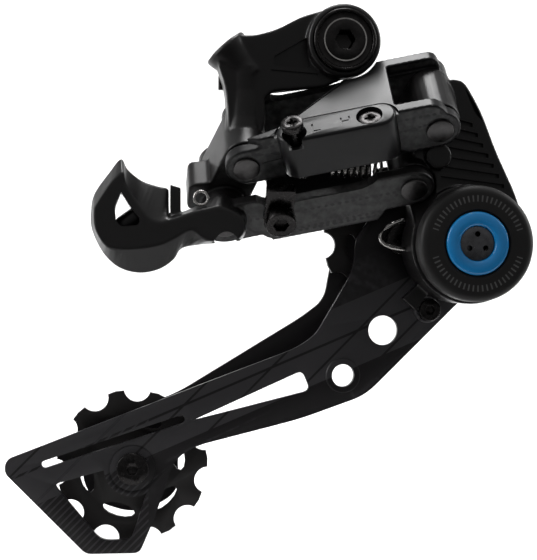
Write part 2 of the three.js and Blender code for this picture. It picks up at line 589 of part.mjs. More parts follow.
function pulleyShape([cx, cz]) {
  const shape = new THREE.Shape();
  // Half of the angle that a seat takes out of the tip circle, seen from the seat's centre.
  const reach = Math.acos((PITCH_R ** 2 + SEAT_R ** 2 - TIP_R ** 2) / (2 * PITCH_R * SEAT_R));
  for (let i = 0; i < TEETH; i += 1) {
    const angle = FIRST_TOOTH + ((i + 0.5) * 2 * Math.PI) / TEETH;
    const seat = [cx + PITCH_R * Math.cos(angle), cz + PITCH_R * Math.sin(angle)];
    const [start, end] = [angle + Math.PI + reach, angle + Math.PI - reach];
    if (i === 0) {
      shape.moveTo(seat[0] + SEAT_R * Math.cos(start), seat[1] + SEAT_R * Math.sin(start));
    }
    shape.absarc(...seat, SEAT_R, start, end, true);
    const tip = angle + Math.PI / TEETH; // the middle of the tooth stands a little proud
    shape.lineTo(cx + (TIP_R + 0.2) * Math.cos(tip), cz + (TIP_R + 0.2) * Math.sin(tip));
  }
  shape.closePath();
  for (let i = 0; i < WINDOWS; i += 1) {
    const angle = FIRST_WINDOW + (2 * Math.PI * i) / WINDOWS;
    const path = new THREE.Path();
    path.absellipse(cx + 15.5 * Math.cos(angle), cz + 15.5 * Math.sin(angle), 2.3, 5.6,
      0, 2 * Math.PI, true, angle);
    shape.holes.push(path);
  }
  return shape;
}

const BOLT_Y = { head: OUTER_PLATE[0] - 2.9, end: INNER_PLATE[1] + 1.2 };
[['upper', UPPER], ['lower', LOWER]].forEach(([name, place]) => {
  const wheel = upright(pulleyShape(place), -PULLEY_Y, PULLEY_Y, 6)
    .add(yCylinder(place, 8.6, -3.4, 3.4, 32))
    .subtract(yCylinder(place, 5.9, -6, 6, 28));
  add(`${name}_pulley`, wheel, 'pulley_black');
  add(`${name}_bearing`, yRing(place, 2.95, 5.6, -3.3, 3.3, 28), 'bearing_steel');
  add(`${name}_cap_outboard`, yRing(place, 2.8, 7.6, -5.7, -3.9, 28), 'bearing_steel');
  add(`${name}_cap_inboard`, yRing(place, 2.8, 7.6, 3.9, 5.7, 28), 'bearing_steel');
  const bolt = yCylinder(place, 2.5, BOLT_Y.head + 1, BOLT_Y.end, 24)
    .add(yCylinder(place, 5.2, BOLT_Y.head, OUTER_PLATE[0] - 0.1, 32))
    .subtract(upright(hexagon(place, mm(3)), BOLT_Y.head - 1, BOLT_Y.head + 2));
  add(`${name}_pulley_bolt`, bolt, 'screw_black');
});

export default derailleur;
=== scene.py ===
# Looks for the rear derailleur: castings, plates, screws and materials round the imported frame.
import json
import math

import bmesh
import bpy
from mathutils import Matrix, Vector


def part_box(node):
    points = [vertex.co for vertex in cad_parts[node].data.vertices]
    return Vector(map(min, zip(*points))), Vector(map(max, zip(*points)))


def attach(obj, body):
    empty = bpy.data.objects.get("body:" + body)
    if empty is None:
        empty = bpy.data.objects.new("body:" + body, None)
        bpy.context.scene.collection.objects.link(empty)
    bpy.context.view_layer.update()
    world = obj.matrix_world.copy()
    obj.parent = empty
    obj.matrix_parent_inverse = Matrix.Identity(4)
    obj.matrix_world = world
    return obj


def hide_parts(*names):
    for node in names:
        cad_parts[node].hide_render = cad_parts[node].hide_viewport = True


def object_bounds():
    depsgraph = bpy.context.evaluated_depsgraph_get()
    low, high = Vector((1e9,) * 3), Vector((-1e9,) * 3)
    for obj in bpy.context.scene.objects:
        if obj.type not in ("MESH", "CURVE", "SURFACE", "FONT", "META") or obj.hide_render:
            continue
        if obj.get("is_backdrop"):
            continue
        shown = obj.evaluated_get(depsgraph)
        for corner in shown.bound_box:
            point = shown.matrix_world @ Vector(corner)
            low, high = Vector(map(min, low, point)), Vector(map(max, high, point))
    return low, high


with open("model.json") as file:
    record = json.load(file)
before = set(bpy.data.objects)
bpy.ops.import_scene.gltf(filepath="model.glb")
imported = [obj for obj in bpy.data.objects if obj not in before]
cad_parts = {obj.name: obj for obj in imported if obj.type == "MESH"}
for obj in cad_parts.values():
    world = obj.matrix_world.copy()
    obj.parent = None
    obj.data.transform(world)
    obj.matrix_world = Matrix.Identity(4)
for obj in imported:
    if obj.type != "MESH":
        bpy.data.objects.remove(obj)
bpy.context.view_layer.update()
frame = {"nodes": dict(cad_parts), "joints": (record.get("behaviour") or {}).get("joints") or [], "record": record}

MM = 0.001

# ------------------------------------------------------------------ places from the frame

joints = {joint["name"]: joint for joint in frame["joints"]}


def joint_point(name):
    return Vector(joints[name]["pos_m"])


X = Vector((1, 0, 0))
Y = Vector((0, 1, 0))
Z = Vector((0, 0, 1))
ORIGIN = Vector((0, 0, 0))
PINS = Vector(joints["shift"]["axis"]).normalized()  # along the link pins, inboard and up
PIN_A = joint_point("shift")
PIN_B = joint_point("p_knuckle_pivot")
PIN_C = joint_point("inner_link_pivot")
PIN_D = PIN_B + PIN_C - PIN_A
ALONG = (PIN_B - PIN_A).normalized()  # along the links
ACROSS = PINS.cross(ALONG).normalized()  # from the outer link towards the inner one
CAGE_AXIS = joint_point("cage_pivot")

# Shapes below are in drawing units. The links are 62.59 units from pin to pin.
LINK_LENGTH = 62.59
UNIT = (PIN_B - PIN_A).length / LINK_LENGTH


def at(x, y, z):
    return Vector((x, y, z)) * UNIT


def plan(point):
    """A place's x and z in drawing units."""
    return (point.x / UNIT, point.z / UNIT)


CLUTCH_XZ = plan(CAGE_AXIS)
UPPER_XZ = plan(joint_point("upper_pulley_spin"))
LOWER_XZ = plan(joint_point("lower_pulley_spin"))


def at_pin(pin, t, perp, depth):
    """A place by distance along a link, across it, and along its pins."""
    return pin + (ALONG * t + ACROSS * perp + PINS * depth) * UNIT


def link_place(point):
    """The same distances, along and across a link, of a place from pin A."""
    offset = (point - PIN_A) / UNIT
    return (offset.dot(ALONG), offset.dot(ACROSS))


A_TO_B = link_place(PIN_B)
A_TO_C = link_place(PIN_C)


# ------------------------------------------------------------------ mesh helpers


def new_object(name, mesh):
    obj = bpy.data.objects.new(name, mesh)
    bpy.context.scene.collection.objects.link(obj)
    return obj


def from_bmesh(name, bm):
    bmesh.ops.recalc_face_normals(bm, faces=bm.faces)
    mesh = bpy.data.meshes.new(name)
    bm.to_mesh(mesh)
    bm.free()
    return new_object(name, mesh)


def node_bmesh(node):
    """A welded copy of a CAD node's mesh, with its flat facets merged."""
    bm = bmesh.new()
    bm.from_mesh(frame["nodes"][node].data)
    bmesh.ops.remove_doubles(bm, verts=bm.verts, dist=0.002 * MM)
    bmesh.ops.dissolve_limit(
        bm, angle_limit=math.radians(1.0), verts=bm.verts, edges=bm.edges
    )
    return bm


def smooth_shading(obj, angle=35):
    mesh = obj.data
    mesh.polygons.foreach_set("use_smooth", [True] * len(mesh.polygons))
    mesh.set_sharp_from_angle(angle=math.radians(angle))


def baked(obj):
    """The object with its modifiers worked into its mesh."""
    depsgraph = bpy.context.evaluated_depsgraph_get()
    mesh = bpy.data.meshes.new_from_object(obj.evaluated_get(depsgraph))
    old = obj.data
    obj.modifiers.clear()
    obj.data = mesh
    bpy.data.meshes.remove(old)
    return obj


def loft(name, rings):
    """A closed solid through rings of points, each ring with as many points."""
    bm = bmesh.new()
    loops = [[bm.verts.new(p) for p in ring] for ring in rings]
    count = len(loops[0])
    for low, high in zip(loops, loops[1:]):
        for i in range(count):
            j = (i + 1) % count
            bm.faces.new((low[i], low[j], high[j], high[i]))
    bm.faces.new(loops[0])
    bm.faces.new(loops[-1])
    return from_bmesh(name, bm)


def across(direction):
    """Two unit vectors that stand across a direction."""
    other = Vector((0, 0, 1)) if abs(direction.z) < 0.9 else Vector((1, 0, 0))
    u = direction.cross(other).normalized()
    return u, direction.cross(u).normalized()


def ring_at(centre, direction, radius, segments=48):
    u, v = across(direction)
    return [
        centre
        + u * radius * math.cos(2 * math.pi * i / segments)
        + v * radius * math.sin(2 * math.pi * i / segments)
        for i in range(segments)
    ]


def turned(name, origin, direction, profile, segments=48):
    """A solid of revolution from (radius, distance) steps, on an axis from origin."""
    direction = direction.normalized()
    rings = [
        ring_at(origin + direction * h * UNIT, direction, max(r, 0.001) * UNIT, segments)
        for r, h in profile
    ]
    return loft(name, rings)


def rod(start, end, radius, segments=24):
    """A straight round bar between two points."""
    length = (end - start).length / UNIT
    return turned("rod", start, end - start, [(radius, 0), (radius, length)], segments)


def prism(name, points, origin, u, v, w, low, high):
    """A straight solid from an outline on axes u and v, from low to high along w."""
    rings = [
        [origin + (u * a + v * b + w * depth) * UNIT for a, b in points]
        for depth in (low, high)
    ]
    return loft(name, rings)


def joined(name, objects):
    """One mesh holding all the given ones, which are used up."""
    bm = bmesh.new()
    for obj in objects:
        bm.from_mesh(obj.data)
        bpy.data.objects.remove(obj)
    mesh = bpy.data.meshes.new(name)
    bm.to_mesh(mesh)
    bm.free()
    return new_object(name, mesh)


def carve(obj, cutters, operation="DIFFERENCE"):
    """Cuts the solids from a piece, or joins them to it, and uses them up."""
    for cutter in cutters:
        boolean = obj.modifiers.new("carve", "BOOLEAN")
        boolean.operation = operation
        boolean.solver = "EXACT"
        boolean.object = cutter
    baked(obj)
    for cutter in cutters:
        bpy.data.objects.remove(cutter)
    return obj


def outline(points, steps=5):
    """An outline from [u, v, cut] corners; a cut rounds the corner that far each way."""
    corners = [Vector(p[:2]) for p in points]
    result = []
    for i, point in enumerate(points):
        corner = corners[i]
        cut = point[2] if len(point) > 2 else 0
        if not cut:
            result.append(tuple(corner))
            continue
        start = corner + (corners[i - 1] - corner).normalized() * cut
        end = corner + (corners[(i + 1) % len(points)] - corner).normalized() * cut
        for k in range(steps + 1):
            f = k / steps
            result.append(tuple(start.lerp(corner, f).lerp(corner.lerp(end, f), f)))
    return result


def softened(points, steps=3):
    """A smooth closed curve through the points, in step with its neighbours."""
    result = []
    count = len(points)
    for i in range(count):
        p0, p1, p2, p3 = (Vector(points[(i + k) % count]) for k in (-1, 0, 1, 2))
        for k in range(steps):
            f = k / steps
            spot = p1 * 2 + (p2 - p0) * f + (p0 * 2 - p1 * 5 + p2 * 4 - p3) * f * f
            spot += (p1 * 3 - p0 - p2 * 3 + p3) * f * f * f
            result.append(tuple(spot / 2))
    return result


def strap(p, pr, q, qr, segments=20):
    """The outline of two circles and the tangents that join them."""
    p, q = Vector(p), Vector(q)
    heading = math.atan2(q.y - p.y, q.x - p.x)
    spread = math.acos((pr - qr) / (q - p).length)
    result = []
    for centre, radius, start, sweep in (
        (p, pr, heading + spread, 2 * (math.pi - spread)),
        (q, qr, heading - spread, 2 * spread),
    ):
        for k in range(segments + 1):
            a = start + sweep * k / segments
            result.append((centre.x + radius * math.cos(a), centre.y + radius * math.sin(a)))
    return result


def upright(points, y0, y1):
    """A plate parallel to the XZ plane."""
    return prism("plate", points, ORIGIN, X, Z, Y, y0, y1)


def slab(pin, points, d0, d1):
    """A plate in the plane of the links, in link coordinates from a pin."""
    return prism("slab", points, pin, ALONG, ACROSS, PINS, d0, d1)


def pin_rod(pin, radius, d0, d1, segments=40):
    """A bar along a link pin's axis, between two depths."""
    return rod(at_pin(pin, 0, 0, d0), at_pin(pin, 0, 0, d1), radius, segments)


def y_rod(x, z, radius, y0, y1, segments=48):
    """A bar along Y."""
    return rod(at(x, y0, z), at(x, y1, z), radius, segments)


def tube(points, radii, segments=28):
    """A round bar through points, with its own radius at each."""
    rings = []
    for i, point in enumerate(points):
        before = points[max(i - 1, 0)]
        after = points[min(i + 1, len(points) - 1)]
        rings.append(ring_at(point, (after - before).normalized(), radii[i] * UNIT, segments))
    return loft("tube", rings)


def cast(name, objects, voxel, rounds):
    """Melts overlapping solids into one casting with softly rounded edges."""
    obj = joined(name, objects)
    remesh = obj.modifiers.new("remesh", "REMESH")
    remesh.mode = "VOXEL"
    remesh.voxel_size = voxel * UNIT * 1.0
    remesh.adaptivity = 0.0
    smooth = obj.modifiers.new("smooth", "SMOOTH")
    smooth.factor = 0.5
    smooth.iterations = rounds
    return baked(obj)


def node_copy(name, node):
    return from_bmesh(name, node_bmesh(node))


def bevelled(obj, width, segments=2, angle=40):
    """Rounds the edges that are sharper than an angle."""
    bevel = obj.modifiers.new("bevel", "BEVEL")
    bevel.width = width * UNIT
    bevel.segments = segments
    bevel.limit_method = "ANGLE"
    bevel.angle_limit = math.radians(angle)
    return baked(obj)


def subdivided(obj, levels=2):
    modifier = obj.modifiers.new("subsurf", "SUBSURF")
    modifier.levels = levels
    modifier.render_levels = levels
    return baked(obj)


def torus(name, centre, direction, major, minor, segments=48, sides=14):
    """A plain ring of round wire."""
    u, v = across(direction.normalized())
    w = direction.normalized()
    bm = bmesh.new()
    loops = []
    for i in range(segments):
        a = 2 * math.pi * i / segments
        out = u * math.cos(a) + v * math.sin(a)
        loop = []
        for k in range(sides):
            b = 2 * math.pi * k / sides
            spot = out * (major + minor * math.cos(b)) + w * minor * math.sin(b)
            loop.append(bm.verts.new(centre + spot * UNIT))
        loops.append(loop)
    for i in range(segments):
        for k in range(sides):
            j, m = (i + 1) % segments, (k + 1) % sides
            bm.faces.new((loops[i][k], loops[j][k], loops[j][m], loops[i][m]))
    obj = from_bmesh(name, bm)
    smooth_shading(obj, 80)
    return obj


def revolved(name, origin, direction, profile, segments=96):
    """A closed ring of revolution from a closed (radius, distance) section."""
    u, v = across(direction.normalized())
    bm = bmesh.new()
    loops = []
    for i in range(segments):
        a = 2 * math.pi * i / segments
        out = u * math.cos(a) + v * math.sin(a)
        loops.append([bm.verts.new(origin + (out * r + direction * h) * UNIT) for r, h in profile])
    for i in range(segments):
        j = (i + 1) % segments
        for k in range(len(profile)):
            m = (k + 1) % len(profile)
            bm.faces.new((loops[i][k], loops[j][k], loops[j][m], loops[i][m]))
    bmesh.ops.remove_doubles(bm, verts=bm.verts, dist=0.002 * MM)
    return from_bmesh(name, bm)


def edged(node, width):
    """A copy of a CAD node with its sharp edges rounded, standing for the node."""
    obj = bevelled(node_copy("vis_" + node, node), width, angle=32)
    smooth_shading(obj, 40)
    return obj


# ------------------------------------------------------------------ materials


class Nodes:
    """Short names for building one material's node tree."""

    def __init__(self, name):
        self.material = bpy.data.materials.new(name)
        self.material.use_nodes = True
        self.tree = self.material.node_tree
        self.shader = self.tree.nodes["Principled BSDF"]

    def link(self, source, target):
        self.tree.links.new(source, target)

    def place(self):
        """Coordinates on the part, in metres."""
        return self.tree.nodes.new("ShaderNodeTexCoord").outputs["Object"]

    def noise(self, scale, detail):
        node = self.tree.nodes.new("ShaderNodeTexNoise")
        node.inputs["Scale"].default_value = scale
        node.inputs["Detail"].default_value = detail
        self.link(self.place(), node.inputs["Vector"])
        return node.outputs["Fac"]

    def remap(self, source, low, high, out_low=0.0, out_high=1.0):
        node = self.tree.nodes.new("ShaderNodeMapRange")
        node.inputs["From Min"].default_value = low
        node.inputs["From Max"].default_value = high
        node.inputs["To Min"].default_value = out_low
        node.inputs["To Max"].default_value = out_high
        self.link(source, node.inputs["Value"])
        return node.outputs["Result"]

    def math(self, operation, a, b=0.0):
        node = self.tree.nodes.new("ShaderNodeMath")
        node.operation = operation
        for socket, value in zip(node.inputs, (a, b)):
            if isinstance(value, (int, float)):
                socket.default_value = value
            else:
                self.link(value, socket)
        return node.outputs[0]

    def mix(self, factor, a, b):
        node = self.tree.nodes.new("ShaderNodeMix")
        node.data_type = "RGBA"
        self.link(factor, node.inputs["Factor"])
        for socket, value in (("A_Color", a), ("B_Color", b)):
            target = next(i for i in node.inputs if i.identifier == socket)
            if isinstance(value, tuple):
                target.default_value = (*value, 1.0)
            else:
                self.link(value, target)
        return next(o for o in node.outputs if o.identifier == "Result_Color")

    def bump(self, height, strength, distance):
        node = self.tree.nodes.new("ShaderNodeBump")
        node.inputs["Strength"].default_value = strength
        node.inputs["Distance"].default_value = distance * MM
        self.link(height, node.inputs["Height"])
        self.link(node.outputs["Normal"], self.shader.inputs["Normal"])


def coated(name, base, worn, roughness, specular, grain=0.25, grain_scale=2600.0):
    """A coated surface: colour drift, fine grain, uneven gloss and rubbed edges."""
    n = Nodes(name)
    shader = n.shader
    shader.inputs["Specular IOR Level"].default_value = specular
    dark = tuple(c * 0.88 for c in base)
    body = n.mix(n.remap(n.noise(90.0, 5.0), 0.35, 0.65), dark, base)
    edge = n.tree.nodes.new("ShaderNodeNewGeometry").outputs["Pointiness"]
    rub = n.math("MULTIPLY", n.remap(edge, 0.60, 0.76), n.remap(n.noise(500.0, 6.0), 0.3, 0.7))
    n.link(n.mix(rub, body, worn), shader.inputs["Base Color"])
    gloss = n.remap(n.noise(160.0, 6.0), 0.3, 0.7, roughness - 0.02, roughness + 0.04)
    n.link(gloss, shader.inputs["Roughness"])
    n.bump(n.noise(grain_scale, 3.0), grain, 0.02)
    return n


def steel(name, base, roughness):
    """Bare or blacked steel with fine tool marks."""
    n = Nodes(name)
    shader = n.shader
    shader.inputs["Metallic"].default_value = 1.0
    marks = n.noise(900.0, 5.0)
    light = tuple(min(1.0, c * 1.4) for c in base)
    n.link(n.mix(n.remap(marks, 0.3, 0.7), base, light), shader.inputs["Base Color"])
    gloss = n.remap(marks, 0.3, 0.7, roughness - 0.05, roughness + 0.08)
    n.link(gloss, shader.inputs["Roughness"])
    n.bump(marks, 0.2, 0.02)
    return n


CAGE_BASE = (0.0050, 0.0042, 0.0050)
CAGE_WORN = (0.022, 0.021, 0.023)
MATERIALS = {
    "knuckle_black": coated(
        "knuckle_black", (0.0045, 0.0040, 0.0042), (0.03, 0.03, 0.03), 0.34, 0.30
    ),
    "link_black": coated(
        "link_black", (0.0062, 0.0060, 0.0066), (0.05, 0.05, 0.05), 0.30, 0.24, 0.08
    ),
    "cage_black": coated("cage_black", CAGE_BASE, CAGE_WORN, 0.42, 0.2),
    "pulley_black": coated(
        "pulley_black", (0.0065, 0.0055, 0.0055), (0.015, 0.015, 0.015), 0.46, 0.25, 0.4, 1800.0
    ),
    "cover_black": coated(
        "cover_black", (0.008, 0.0075, 0.0075), (0.02, 0.02, 0.02), 0.5, 0.25, 0.4, 3200.0
    ),
    "badge_blue": coated(
        "badge_blue", (0.006, 0.21, 0.52), (0.02, 0.30, 0.60), 0.16, 0.5, 0.05, 1500.0
    ),
    "screw_black": steel("screw_black", (0.020, 0.019, 0.019), 0.24),
    "pin_steel": steel("pin_steel", (0.055, 0.053, 0.053), 0.34),
    "bearing_steel": steel("bearing_steel", (0.08, 0.08, 0.085), 0.30),
    "spring_steel": steel("spring_steel", (0.32, 0.31, 0.30), 0.22),
    "bush_bronze": steel("bush_bronze", (0.20, 0.12, 0.06), 0.38),
}


def dress(obj, slot, body, *nodes, material=None):
    """Gives a piece its finish, its body, and the CAD nodes that it stands for."""
    obj.data.materials.clear()
    obj.data.materials.append((material or MATERIALS[slot]).material)
    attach(obj, body)
    if nodes:
        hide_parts(*nodes)
    return obj


SLOTS = {part["node"]: part["material_slot"] for part in frame["record"]["subparts"]}
BODY_OF = {
    node: body
    for body, members in frame["record"]["behaviour"]["bodies"].items()
    for node in members
}

# ------------------------------------------------------------------ sizes of the parallelogram

# Depths along the pins, and radii round them, in drawing units.
OUTER_EAR = (-48.3, -44.3)
INNER_EAR = (-54.3, -50.5)
BACK_EAR = (-25.0, -21.3)
EAR_R = 6.8
BOSS_R = 7.2
LINK_BORE = 2.9
KNUCKLE_BORE = 3.0
SCREW_BORE = 2.15

# ------------------------------------------------------------------ hanger knuckle

HOUSING_END = at(-38.3, -15.5, -1.2)
HOUSING_DIR = Vector((0.665, 0, -0.747))


def hanger_knuckle():
    arm = outline([
        (-2, 11.8), (-13.3, 8.5, 3), (-21.6, 4.0, 3), (-28.4, 2.1, 1.5), (-34, 2, 1),
        (-41, -7, 2), (-38.2, -15, 4), (-37.6, -23, 3), (-37.4, -31, 3), (-29, -35, 2),
        (-25.2, -27, 3), (-25.6, -18.5, 1.5), (-22.8, -16.2, 1), (-6, -14.6, 1), (0, -11.9),
    ])
    solids = [
        turned("eye", at(0, -26, 0), Y, [(11.0, 0), (11.8, 0.5), (12, 1.1), (12, 15.2)], 72),
        upright(arm, -20.9, -10.9),
        turned("boss", HOUSING_END, HOUSING_DIR, [
            (6.9, -0.3), (7.5, 0.0), (7.7, 0.7), (7.5, 2.0), (6.9, 4.5), (6.4, 8), (6.3, 13),
        ]),
        tube(
            [at(-31.6, -15.6, -8), at(-31.8, -15.8, -16), at(-32, -16.4, -25),
             at(-32.3, -17.2, -31.2)],
            [6.4, 5.9, 6.0, 6.4],
        ),
        slab(PIN_A, strap((0, 0), BOSS_R, A_TO_C, BOSS_R + 0.4), -44.0, -25.3),
        pin_rod(PIN_C, BOSS_R + 0.4, -50.2, -25.3),
        slab(PIN_A, outline([
            (-20.3, 6.1, 2), (-9.0, 7.3, 1), (-12.6, 20.8, 1), (-23.4, 15.8, 2),
        ]), -44, -32),
        upright([(-37, -15.6), (-26, -15.6), (-26, -8), (-37, -8)], -11.8, -4.8),
    ]
    knuckle = cast("vis_b_knuckle", solids, voxel=0.42, rounds=7)
    mouth = HOUSING_END - HOUSING_DIR * 3 * UNIT
    cutters = [
        y_rod(0, 0, 7.3, -28, -9),
        y_rod(0, 0, 10.6, -28, -23.9),
        slab(PIN_A, strap((0, 0), EAR_R + 0.5, A_TO_B, EAR_R + 0.5), -25.3, -9),
        pin_rod(PIN_A, KNUCKLE_BORE, -60, 0),
        pin_rod(PIN_C, KNUCKLE_BORE, -60, 0),
        rod(mouth, HOUSING_END + HOUSING_DIR * 5.6 * UNIT, 5.5),
        rod(mouth, HOUSING_END + HOUSING_DIR * 26 * UNIT, 2.4),
        rod(at(-50, -8, -11.8), at(-20, -8, -11.8), 1.8),
        # The sunk face of the arm and the groove along its lower flange.
        upright(outline([
            (-22.6, -4.8, 0.8), (-10.9, 2.0, 1), (-11.6, -3, 2), (-10.5, -8.4, 1), (-22.6, -7.9, 0.8),
        ]), -23, -19.6),
        upright([(-23.5, -9.1), (-8, -10.2), (-8, -10.9), (-23.5, -9.9)], -23, -20.1),
    ]
    carve(knuckle, cutters)
    smooth_shading(knuckle, 42)
    dress(knuckle, "knuckle_black", "b_knuckle", "b_knuckle")
    # A small bright ring near the root of the cable fin. It moves with the inner link.
    ring = torus("vis_lug_ring", at(-46.4, -24.2, -51.3), Y, 2.2, 0.45)
    dress(ring, "spring_steel", "inner_link")


def bolt_ring():
    """A bright shallow ring inside the hanger bolt's flange."""
    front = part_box("hanger_bolt")[0][1] / UNIT
    ring = revolved("vis_bolt_ring", at(0, front + 0.05, 0), Y, [
        (7.0, 0.0), (6.8, 0.0), (4.9, 0.35), (4.9, 1.5), (7.0, 1.5),
    ], 72)
    smooth_shading(ring, 30)
    dress(ring, "bearing_steel", "hanger_mount", material=MATERIALS["spring_steel"])


# ------------------------------------------------------------------ outer link

# The limit-screw block: centres of its two round ends, and their radius.
BLOCK_DEPTH = -48.3
BLOCK_LOW = (17.0, BLOCK_DEPTH)
BLOCK_HIGH = (44.6, BLOCK_DEPTH)
BLOCK_R = 5.2
BLOCK_GROOVE = 0.9
WALL = (-10.6, -8.1)
# Each limit screw's place along and into the link, and the radius of its recess.
SCREWS = ((17.5, -50.0, 4.0), (41.5, -48.4, 4.2))
# The engraved L and H, as strokes between (t, depth) places.
MARKS = (
    ((23.4, -50.6), (23.4, -47.4)),
    ((23.4, -50.6), (25.6, -50.6)),
    ((32.6, -50.2), (32.6, -47.0)),
    ((35.2, -50.2), (35.2, -47.0)),
    ((32.6, -48.6), (35.2, -48.6)),
)
MARK_HALF = 0.27


def on_wall(points, low, high):
    """A plate parallel to the link's top wall, from (t, depth) points."""
    return prism("wall", points, PIN_A, ALONG, PINS, ACROSS, low, high)


def mark_stroke(start, end):
    """A cutter for one stroke, from its lower left end to its upper right one."""
    (t0, d0), (t1, d1) = start, end
    low_t, low_d = t0 - MARK_HALF, d0 - MARK_HALF
    high_t, high_d = t1 + MARK_HALF, d1 + MARK_HALF
    box = [(low_t, low_d), (high_t, low_d), (high_t, high_d), (low_t, high_d)]
    return on_wall(box, WALL[0] - 3, WALL[0] - 0.6)


def outer_link():
    end = A_TO_B[0]
    wall = [(2.0, -46.5), (5.5, -48.3), (end - 12.6, -48.3), (end - 12.6, -21.3), (43.5, -21.3),
            (38, -24.5), (14.5, -43.5)]
    front = strap((0, 0), EAR_R, A_TO_B, EAR_R)
    solids = [
        on_wall(wall, *WALL),
        slab(PIN_A, front, *OUTER_EAR),
        slab(PIN_A, outline([(3, -5), (11, WALL[0], 2), (end + 1, WALL[0], 4), (end + 4, -4), (30, 0)]),
             *OUTER_EAR),
        slab(PIN_A, front, *BACK_EAR),
        slab(PIN_A, outline([
            (end - 20, WALL[0]), (end + 3.5, WALL[0], 3), (end + 5, -5, 2), (end - 12, 0),
            (end - 22, -5),
        ]), -24.5, -20.6),
        slab(PIN_A, strap((end - 8, -2), 5.5, A_TO_B, EAR_R), -21.8, -18.4),
    ]
    link = cast("vis_outer_link", solids, voxel=0.40, rounds=3)
    block = on_wall(strap(BLOCK_LOW, BLOCK_R, BLOCK_HIGH, BLOCK_R), WALL[0] - 1.0, 4.4)
    bevelled(block, 0.9, 3, 50)
    groove_r = BLOCK_R + BLOCK_GROOVE
    groove = on_wall(
        strap(BLOCK_LOW, groove_r, BLOCK_HIGH, groove_r), WALL[0] - 2.0, WALL[0] + BLOCK_GROOVE
    )
    carve(link, [groove])
    carve(link, [block], "UNION")
    cutters = [
        # Room behind the block for the knuckle bosses.
        slab(PIN_A, [(8, -7.9), (end - 8, -7.9), (end - 6, 9), (6, 9)], -44.2, -25.1),
        slab(PIN_A, outline([(13, 4.6, 1), (end - 12, 4.6, 2), (end - 9, 9), (10, 9)]), -55, -20),
        slab(PIN_A, outline([(11, 4.2, 4), (end - 11, 4.2, 4), (end - 8, 9), (8, 9)]), -26, -20),
        slab(PIN_A, outline([(11, -5.4, 4), (36, -5.4, 4), (40, -12), (8, -12)]), -25.0, -20),
        pin_rod(PIN_A, LINK_BORE, -60, 0),
        pin_rod(PIN_B, LINK_BORE, -60, 0),
        y_rod(0, 0, 12.6, -27, 0),
    ]
    for t, depth, recess in SCREWS:
        start = at_pin(PIN_A, t, -20, depth)
        floor = at_pin(PIN_A, t, WALL[0] + 2.8, depth)
        cutters.append(rod(start, at_pin(PIN_A, t, 20, depth), SCREW_BORE, 32))
        cutters.append(rod(start, floor, recess, 40))
    # Parting crease along the arms at mid height, and the crease across the wall.
    cutters.append(slab(PIN_A, [(5, -0.9), (12, -1.4), (12, -1.15), (5, -0.65)], -48.7, -48.0))
    cutters.append(on_wall([(8.6, -48.4), (15.2, -43.2), (42.6, -22.4), (42.9, -22.7), (15.5, -43.6),
                            (9.0, -48.4)], WALL[0] - 1, WALL[0] + 0.45))
    cutters.extend(mark_stroke(*mark) for mark in MARKS)
    carve(link, cutters)
    smooth_shading(link, 38)
    dress(link, "link_black", "outer_link", "outer_link")


# ------------------------------------------------------------------ inner link and cable fin

# Stations round the fin: front corner (x, z) and back corner (x, z).
FIN_FRONT = [
    (-71.4, -43.3), (-70.7, -46.8), (-68.2, -51.2), (-66.0, -54.7), (-62.8, -58.2), (-59.6, -59.2),
    (-57.1, -58.5), (-53.3, -57.2), (-48.2, -55.5), (-43.7, -54.6), (-39.8, -54.2), (-33.4, -57.1),
    (-32.4, -60.9), (-34.1, -64.1), (-36.6, -64.7), (-44.3, -65.1), (-49.4, -61.6), (-54.6, -64.2),
    (-59.6, -66.4), (-66.0, -67.5), (-72.3, -67.9), (-76.7, -66.8), (-80.0, -61.7), (-80.6, -56.0),
    (-79.9, -53.5), (-75.3, -46.5),
]
FIN_BACK = [
    (-72.0, -38.5), (-70.1, -41.7), (-66.9, -44.6), (-64.0, -46.2), (-59.5, -47.5), (-56.9, -48.4),
    (-56.6, -54.9), (-54.3, -56.1), (-49.1, -54.2), (-43.3, -51.6), (-38.7, -49.7), (-32.5, -54.8),
    (-31.4, -60.6), (-32.8, -64.2), (-34.8, -65.0), (-45.2, -66.0), (-52.4, -67.3), (-54.9, -70.8),
    (-59.5, -74.0), (-65.9, -75.3), (-72.4, -73.7), (-77.5, -69.2), (-81.3, -61.5), (-81.6, -55.0),
    (-80.4, -49.6), (-75.6, -42.8),
]
FIN_WINDOW = [
    (-72.0, -49.6, 0.6), (-74.0, -54.7, 1.5), (-73.6, -58.8, 1), (-72.0, -60.6, 0.9),
    (-66.6, -60.1, 0.8), (-66.0, -58.2, 0.7), (-69.2, -54.1, 1),
]


